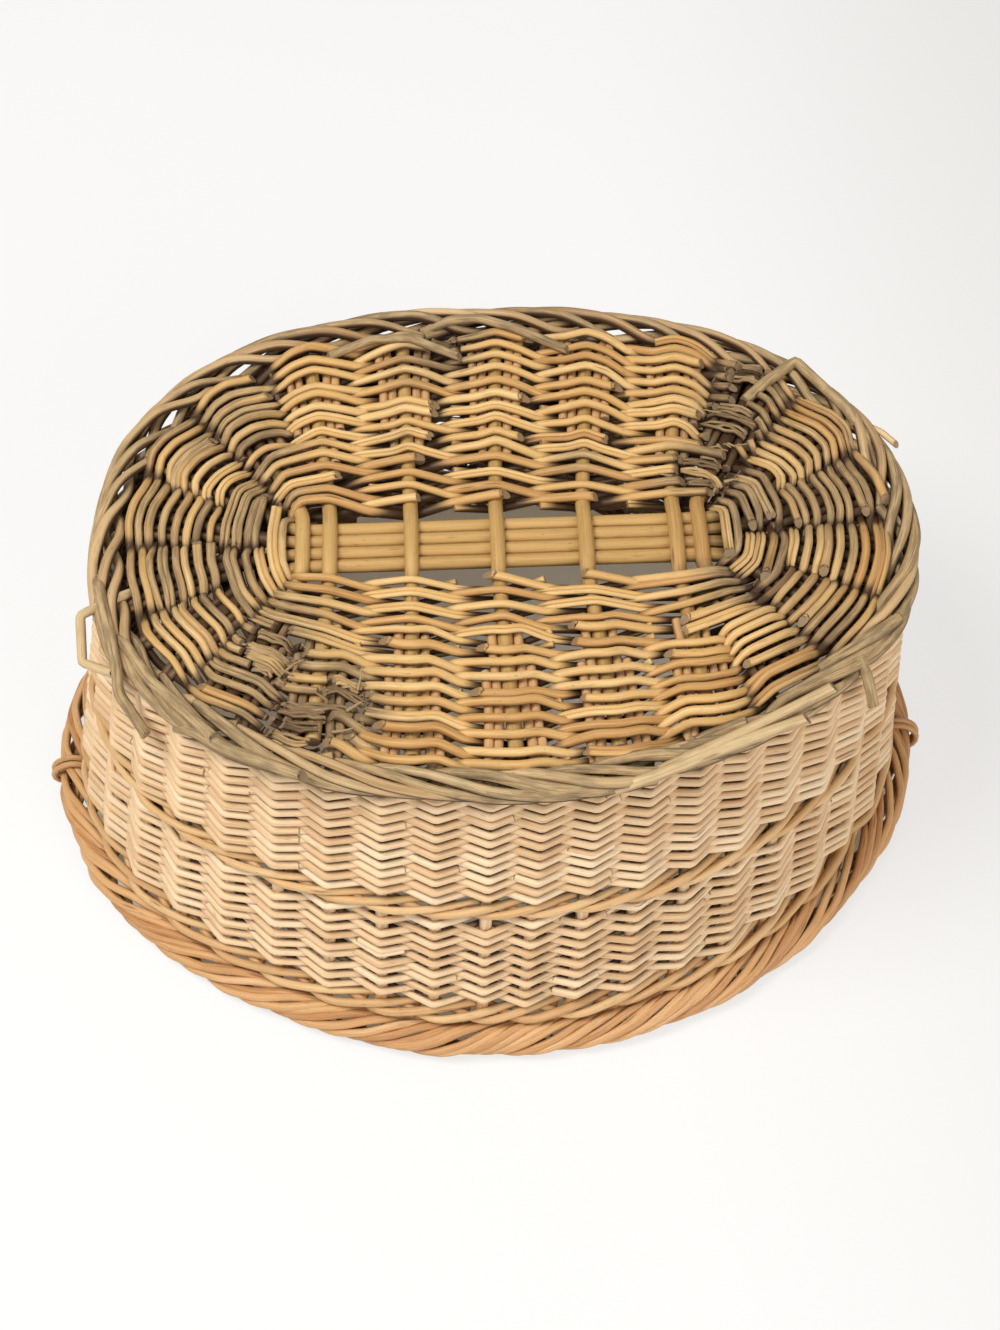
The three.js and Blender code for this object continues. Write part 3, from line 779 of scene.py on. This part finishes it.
foot = Bundle("foot_wale", exposed=(0.25, 0.75), underside_shade=1.35)
wale(foot, [13, 16, 12, 7.5, 2.5], [-6.5, 8.5, 12.5, 12, 5], 7.4, wear=0.6, lengths=(8, 14), loose=1.2)
foot.piece("foot_willow", *(f"foot_wale_rod_{i}" for i in (1, 2, 3)))

middle = Bundle("middle_wale", exposed=(0.8, 0.6), underside_shade=0.4)
wale(middle, [117, 113, 121], [-6, 6.5, 6.5], 5.6)
middle.piece("wale_willow", *(f"middle_wale_rod_{i}" for i in (1, 2, 3)))

top = Bundle("top_wale", exposed=(0.8, 0.6), underside_shade=0.4)
wale(top, [212, 208, 218], [-6, 7, 8], 6.0)
top.piece("wale_willow", *(f"top_wale_rod_{i}" for i in (1, 2, 3)))

# %% [markdown]
# The rand fills the wall between the wales: fine rods, each in front of one stake and behind the next,
# and the row after it the other way round. Seen from above, every pass in front of a stake is a V.

# %% Rands
# Each point of a pass: how many stakes beside the stake it is, how far out, and how much painted shade it
# gets, most behind a stake.
FRONT_PASS = [(-0.44, 0.7, 0.1), (-0.03, 6.2, 0), (0.03, 6.2, 0), (0.44, 0.7, 0.1)]
BACK_PASS = [(-0.1, -4.6, 0.9), (0.1, -4.6, 0.9)]
RAND_LENGTHS = (12, 22)


def rand(bundle, low, high, rows, girth, loose=0.35):
    """Rows of rods between two heights, each row once round the basket."""
    pitch = (high - low) / rows
    for row in range(rows):
        at = int(chance.integers(0, STAKES))
        stop = at + STAKES
        while at < stop:
            upto = min(at + chance.integers(*RAND_LENGTHS), stop)
            stake = np.arange(at, upto + 1)
            height = low + (row + 0.5) * pitch + wander(len(stake), loose, 2)
            route = []
            for number, level in zip(stake, height):
                front = (number + row) % 2 == 0
                for beside, out, soil in FRONT_PASS if front else BACK_PASS:
                    route.append((number + beside, level, out, soil))
            places, heights, outs, pass_shades = zip(*route)
            butt, tip = girth * chance.uniform(0.98, 1.1), girth * chance.uniform(0.9, 0.98)
            # Painted shade on the parts of a rod behind the stakes.
            bundle.add(wall(places, heights, outs), butt, tip, soil=pass_shades)
            at = upto


lower = Bundle("lower_rand", exposed=(0.8, 0.6), underside_shade=0.4)
rand(lower, 20, 108.5, 23, 5.3)
lower.piece("rand_willow", "lower_rand_strand_1", "lower_rand_strand_2")
upper = Bundle("upper_rand", exposed=(0.8, 0.6), underside_shade=0.4)
rand(upper, 125.5, 204, 17, 5.0, 1.1)
upper.piece("rand_willow", "upper_rand_strand_1", "upper_rand_strand_2")

# %% [markdown]
# At each end of the basket a thin rod is lashed twice round the outer rods of the border.

# %% Lashings
LASHED_AT = (-0.25, 21.1)
LASH_SPREAD = 0.16
LASH_HEIGHT, LASH_OUT = 12, 13
LASH_MIDDLE = ROLL_HEIGHT - 0.3 * ROLL, 14

lashings = Bundle("lashings", exposed=(0.8, 0.6), underside_shade=0.4)
for place in LASHED_AT:
    turns = np.linspace(0, 2, 40)
    around = 2 * np.pi * (turns + 0.5)
    heights = LASH_MIDDLE[0] + LASH_HEIGHT * np.sin(around)
    outs = LASH_MIDDLE[1] + LASH_OUT * np.cos(around)
    route = wall(place + LASH_SPREAD * (turns - 1), heights, outs)
    lashings.add(bend(route, 4, 3), 4.6, 4.2)
lashings.piece("wale_willow", "lashing_left", "lashing_right")

# %% [markdown]
# Rods that came loose with age. One stake has sprung out at the left and hangs in a loop, rods of the
# foot wale have snapped and stand up or hang down the wall, and some show pale, where they were cut flat.
# Each is a route in millimetres that starts among the rods that carry it. Short snapped fibres stand up
# in the worst of the grey patches.

# %% Loose rods
# Each rod: its thickness, how grey it is, its stiffness, and its route.
LOOSE = [
    (6.4, 0.35, 1.2, [(-226, -24, 233), (-238, -33, 238), (-257, -43, 236), (-256, -69, 222),
                      (-234, -83, 228)]),
    (7.6, 1.0, 2.2, [(-250, -8, 230), (-246, -25, 242), (-241, -45, 244), (-234, -73, 243),
                     (-231, -88, 239), (-231, -97, 228), (-216, -114, 206)]),
    (7.4, 0.9, 1.2, [(221, -88, 236), (224, -101, 240), (229, -109, 229), (233, -117, 214)]),
    (7.6, 0.4, 4, [(78, -176, 229), (104, -170, 241), (130, -161, 246), (168, -142, 247),
                   (203, -123, 246)]),
    (7.8, 0.4, 4, [(62, -180, 228), (90, -178, 240), (130, -164, 245), (158, -155, 247),
                   (184, -145, 246)]),
    (7.4, 0.75, 1.4, [(176, 118, 236), (193, 130, 243), (213, 143, 247), (226, 124, 246),
                      (242, 102, 244), (255, 76, 238), (260, 56, 228)]),
    (4.6, 0.1, 1.2, [(254, 95, 235), (263, 84, 240), (272, 73, 239)]),
    (7.6, 0.9, 4, [(-238, -50, 229), (-228, -68, 241), (-209, -101, 246), (-193, -118, 247),
                   (-168, -145, 246)]),
    (7.6, 0.7, 4, [(-194, -124, 229), (-180, -136, 241), (-162, -151, 245), (-141, -162, 247),
                   (-116, -173, 246)]),
    (6.6, 1.0, 2, [(-104, 169, 238), (-73, 177, 245), (-47, 176, 246), (-14, 163, 240)]),
    (6.8, 0.8, 3, [(-40, 196, 230), (-20, 196, 242), (1, 192, 247), (28, 181, 246), (60, 166, 240)]),
]
PALE = 0.4
FIBRES, FIBRES_FROM, FIBRES_WITHIN = 7, 0.85, 0.85

loose = Bundle("loose_rods", sides=10, exposed=(0.3, 0.9), underside_shade=0.3)
for girth, grey, stiffness, route in LOOSE:
    rod = bend(np.array(route) / 1000, 3, stiffness)
    tone = chance.uniform(0.3, 1) if grey > PALE else 0.0
    loose.add(rod, girth, girth * 0.92, grey, tone=tone, slant=(0.5, 0.8))
for x, y, size, depth in PATCHES:
    for _ in range(FIBRES if depth > FIBRES_FROM else 0):
        start = np.array([x, y, 0]) + [*chance.normal(0, size * 0.5, 2), BASE_TOP + chance.uniform(3, 7)]
        way = chance.normal(0, 1, 3) * (1, 0.6, 0.25) + (0, 0, 0.2)
        way *= chance.uniform(6, 16) / np.linalg.norm(way)
        kink = chance.normal(0, 1.5, 3)
        rod = np.array([start, start + way * 0.5 + kink, start + way]) / 1000
        thick = chance.uniform(1.6, 2.8)
        if np.hypot(*((start + way)[:2] / FOOT_HALF)) < FIBRES_WITHIN:
            loose.add(rod, thick, 0.7, 1.0)
loose.piece("foot_willow")

# %% [markdown]
# Every finish is willow, and differs in tone and in how far it has gone grey. The finish reads three
# things from a rod: `grain` gives fibres that run along it, `look` gives its tone, wear and cut ends,
# and the third gives its dirt and painted shade. A finish is a tree of nodes. A `Wire` is what comes out of
# a node, and lets the tree be written as sums.

# %% Wires
class Wire:
    """A number in a node tree, which can be used in sums."""

    def __init__(self, finish, socket):
        self.finish, self.socket = finish, socket

    def sum(self, operation, first, second):
        return self.finish.node("ShaderNodeMath", {"operation": operation}, {0: first, 1: second})

    def __add__(self, other):
        return self.sum("ADD", self, other)

    def __sub__(self, other):
        return self.sum("SUBTRACT", self, other)

    def __rsub__(self, other):
        return self.sum("SUBTRACT", other, self)

    def __mul__(self, other):
        return self.sum("MULTIPLY", self, other)

    __radd__, __rmul__ = __add__, __mul__

    def between(self, low, high):
        """0 below low, 1 above high, smooth between them."""
        settings = {"interpolation_type": "SMOOTHSTEP"}
        sockets = {"Value": self, "From Min": low, "From Max": high}
        return self.finish.node("ShaderNodeMapRange", settings, sockets)


# %% [markdown]
# A `Finish` is a material with short ways to add nodes. Noise is stretched along the rod by scaling
# `grain`, and colours are given as they are read off a picture.

# %% Finish helpers
class Finish:
    """A material, and short ways to add nodes to it."""

    def __init__(self, name):
        self.material = bpy.data.materials.new(name)
        self.material.use_nodes = True
        self.tree = self.material.node_tree
        self.shader = self.tree.nodes["Principled BSDF"]

    def put(self, socket, value):
        if isinstance(value, Wire):
            self.tree.links.new(value.socket, socket)
        else:
            socket.default_value = value

    def node(self, kind, settings=None, sockets=None, out=0):
        made = self.tree.nodes.new(kind)
        for name, value in (settings or {}).items():
            setattr(made, name, value)
        for name, value in (sockets or {}).items():
            self.put(made.inputs[name], value)
        return Wire(self, made.outputs[out])

    def mix(self, factor, first, second):
        return self.node("ShaderNodeMix", {"data_type": "RGBA"}, {0: factor, 6: first, 7: second}, 2)

    def stretched(self, vector, scale, offset):
        sockets = {0: vector, 1: scale, 2: offset}
        return self.node("ShaderNodeVectorMath", {"operation": "MULTIPLY_ADD"}, sockets)

    def noise(self, vector, scale, detail=3.0, roughness=0.55):
        sockets = {"Vector": vector, "Scale": scale, "Detail": detail, "Roughness": roughness}
        return self.node("ShaderNodeTexNoise", None, sockets)


def linear(red, green, blue):
    """A colour as read off a picture (0 to 255), as Blender stores it."""
    parts = [v / 255 for v in (red, green, blue)]
    return [v / 12.92 if v <= 0.04045 else ((v + 0.055) / 1.055) ** 2.4 for v in parts] + [1.0]


def darker(color, share):
    return [v * share for v in color[:3]] + [1.0]


# %% [markdown]
# Peeled willow is pale, with streaks and fibres along the rod, brown flecks, and a dark bud here and
# there. Worn willow is grey and cracked. The layers are mixed in that order, then the dirt and the painted
# shade, then the cut ends, which are duller. All noise is stretched along the rod, and each rod has its own
# part of it.

# %% Willow
# The dark colour serves both dirt and painted shade.
DIRT_AND_SHADE, CUT_END = linear(62, 38, 19), linear(146, 120, 90)


def willow(name, pale, fair, deep, grey):
    finish = Finish(name)
    grain = finish.node("ShaderNodeAttribute", {"attribute_name": "grain"}, out=1)
    look = finish.node("ShaderNodeAttribute", {"attribute_name": "look"}, out=1)
    soil = finish.node("ShaderNodeAttribute", {"attribute_name": "soil"}, out=2)
    parts = finish.node("ShaderNodeSeparateXYZ", None, {0: look})
    tone, wear, cut = (Wire(finish, parts.socket.node.outputs[k]) for k in range(3))
    offset = finish.node("ShaderNodeCombineXYZ", None, {0: tone * 31.0, 1: tone * 17.0, 2: tone * 23.0})
    streak = finish.noise(finish.stretched(grain, (9, 0.9, 0.9), offset), 1.6)
    fibre = finish.noise(finish.stretched(grain, (13, 2.8, 2.8), offset), 2.2, 4.0, 0.65)
    fleck = finish.noise(finish.stretched(grain, (120, 2.2, 2.2), offset), 1.4, 2.0).between(0.66, 0.76)
    blotch = finish.noise(finish.stretched(grain, (55, 0.8, 0.8), offset), 1.3, 2.0)
    furrow = finish.noise(finish.stretched(grain, (4, 2.4, 2.4), offset), 2.2, 2.0)
    furrow = furrow.between(0.475, 0.5) - furrow.between(0.5, 0.525)
    spots = finish.stretched(grain, (16, 0.5, 0.5), offset)
    buds = finish.node("ShaderNodeTexVoronoi", None, {"Vector": spots, "Scale": 1.0})
    bud = 1 - buds.between(0.05, 0.14)
    shade = tone * 0.6 + streak * 0.6 + (fibre - 0.5) * 0.8 - 0.1
    color = finish.mix(shade.between(0.05, 0.5), pale, fair)
    color = finish.mix(shade.between(0.5, 0.95), color, deep)
    color = finish.mix(bud * 0.7, color, darker(deep, 0.35))
    color = finish.mix(blotch.between(0.58, 0.8) * 0.35, color, darker(deep, 0.6))
    color = finish.mix(fleck * 0.6, color, darker(deep, 0.4))
    color = finish.mix(furrow * 0.3, color, darker(deep, 0.45))
    worn = (wear + (streak - 0.5) * 0.9 * wear + (fibre - 0.5) * 0.6 * wear).between(0.12, 0.8)
    crack = fibre.between(0.52, 0.7)
    greyed = finish.mix(blotch.between(0.35, 0.65), grey, darker(grey, 0.55))
    greyed = finish.mix((crack + furrow).between(0.0, 1.0), greyed, darker(grey, 0.28))
    color = finish.mix(worn * 0.92, color, greyed)
    # Dirt and painted shade: undersides, dips under sticks and passes behind stakes are darkened.
    dirt_and_shade_share = (soil + (streak - 0.5) * 0.5).between(0.15, 0.95)
    color = finish.mix(dirt_and_shade_share * 0.95, color, DIRT_AND_SHADE)
    color = finish.mix(cut.between(0.35, 0.6) * 0.85, color, CUT_END)
    finish.put(finish.shader.inputs["Base Color"], color)
    finish.put(finish.shader.inputs["Roughness"], worn * 0.25 + fibre * 0.2 + 0.4)
    height = fibre * 0.7 + streak * 0.3 - crack * worn * 0.8
    bump = finish.node("ShaderNodeBump", None, {"Strength": 0.35, "Distance": 0.0006, "Height": height})
    finish.put(finish.shader.inputs["Normal"], bump)
    finish.shader.inputs["Specular IOR Level"].default_value = 0.4
    return finish.material


# %% [markdown]
# The finishes differ in four colours only: pale, fair and deep willow, and grey. The base is yellower,
# the wall paler, and the wales browner.

# %% Finishes
TONES = {
    "stick_willow": ((216, 179, 117), (198, 158, 96), (168, 122, 68), (150, 124, 90)),
    "base_willow": ((235, 200, 140), (219, 175, 110), (182, 131, 75), (186, 155, 113)),
    "stake_willow": ((248, 226, 190), (216, 168, 114), (180, 124, 76), (160, 130, 94)),
    "foot_willow": ((226, 197, 150), (203, 168, 121), (155, 115, 75), (192, 163, 119)),
    "wale_willow": ((232, 196, 145), (216, 174, 121), (186, 135, 85), (150, 126, 94)),
    "rand_willow": ((247, 223, 188), (237, 204, 162), (212, 170, 123), (170, 146, 112)),
}
FINISHES = {name: willow(name, *(linear(*color) for color in colors)) for name, colors in TONES.items()}
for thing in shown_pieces():
    if "finish" in thing:
        thing.data.materials.clear()
        thing.data.materials.append(FINISHES[thing["finish"]])
print("finishes", list(FINISHES))

# %% [markdown]
# The floor is plain and almost white. What the camera sees of it is lifted towards white, and the shadow
# stays in it. The floor inside the basket, seen through the gaps, is lifted less and glows warm: painted
# warm light, as if bounced from the willow round it. Towards the right the glow is dimmer: a painted falloff
# of light.

# %% Floor
INSIDE_HALF, INSIDE_EDGE = (0.298, 0.243), (0.96, 1.0)
LIFT_INSIDE, LIFT_MORE_OUTSIDE = 0.16, 0.55
PAINTED_WARM_GLOW, WHITE, PAINTED_FALLOFF_WHITE = (1.0, 0.78, 0.52, 1), (1.0, 0.995, 0.985, 1), (0.86, 0.84, 0.82, 1)

floor_shape = bmesh.new()
bmesh.ops.create_grid(floor_shape, x_segments=1, y_segments=1, size=4)
floor_mesh = bpy.data.meshes.new("floor")
floor_shape.to_mesh(floor_mesh)
floor_shape.free()
floor = bpy.data.objects.new("floor", floor_mesh)
bpy.context.scene.collection.objects.link(floor)

paper = Finish("paper")
paper.shader.inputs["Base Color"].default_value = (0.86, 0.855, 0.845, 1)
paper.shader.inputs["Roughness"].default_value = 0.9
place = paper.node("ShaderNodeTexCoord", None, None, 3)
across = paper.node("ShaderNodeSeparateXYZ", None, {0: place})
# Painted falloff of light: the lifted floor is dimmer towards the right.
white_with_falloff = paper.mix(across.between(0.08, 0.6), WHITE, PAINTED_FALLOFF_WHITE)
ray = paper.node("ShaderNodeLightPath", None, None, 0)
paths = ray.socket.node.outputs
seen = ray + Wire(paper, paths["Is Glossy Ray"]) + Wire(paper, paths["Is Transmission Ray"])
flat = paper.stretched(place, (1 / INSIDE_HALF[0], 1 / INSIDE_HALF[1], 0), (0, 0, 0))
away = paper.node("ShaderNodeVectorMath", {"operation": "LENGTH"}, {0: flat}, 1)
outside = away.between(*INSIDE_EDGE)
lift = seen * (outside * LIFT_MORE_OUTSIDE + LIFT_INSIDE)
# Painted warm light on the floor inside the basket.
tint = paper.mix(outside, PAINTED_WARM_GLOW, white_with_falloff)
glow = paper.node("ShaderNodeEmission", None, {"Color": tint, "Strength": 1.0})
lifted = paper.node("ShaderNodeMixShader", None, {0: lift, 1: Wire(paper, paper.shader.outputs[0]), 2: glow})
paper.put(paper.tree.nodes["Material Output"].inputs["Surface"], lifted)
floor_mesh.materials.append(paper.material)
print(floor.name, "with the finish", paper.material.name)

# %% [markdown]
# The light is soft, so that the shadows are pale: an even sky and two large lamps, one above at the left
# and a weaker one in front at the right.

# %% Light
world = bpy.data.worlds.new("studio")
bpy.context.scene.world = world
world.use_nodes = True
sky = world.node_tree.nodes["Background"]
sky.inputs["Color"].default_value = (1.0, 0.985, 0.96, 1)
sky.inputs["Strength"].default_value = 0.33


def lamp(name, place, target, size, power, color):
    """A round lamp at place that shines at target."""
    data = bpy.data.lights.new(name, "AREA")
    data.shape = "DISK"
    data.size = size
    data.energy = power
    data.color = color
    thing = bpy.data.objects.new(name, data)
    thing.location = place
    aim = np.array(target) - np.array(place)
    aim /= np.linalg.norm(aim)
    thing.rotation_euler = (math.acos(-aim[2]), 0, math.atan2(-aim[0], aim[1]))
    bpy.context.scene.collection.objects.link(thing)
    print("lamp", name, power, "W")


lamp("window", (-1.1, -0.3, 2.3), (0, 0, 0.1), 1.2, 47, (0.985, 0.98, 0.95))
lamp("front", (1.5, -2.0, 1.6), (0, 0, 0.1), 1.8, 34, (1.0, 0.975, 0.95))
bpy.context.scene.view_settings.view_transform = "Standard"
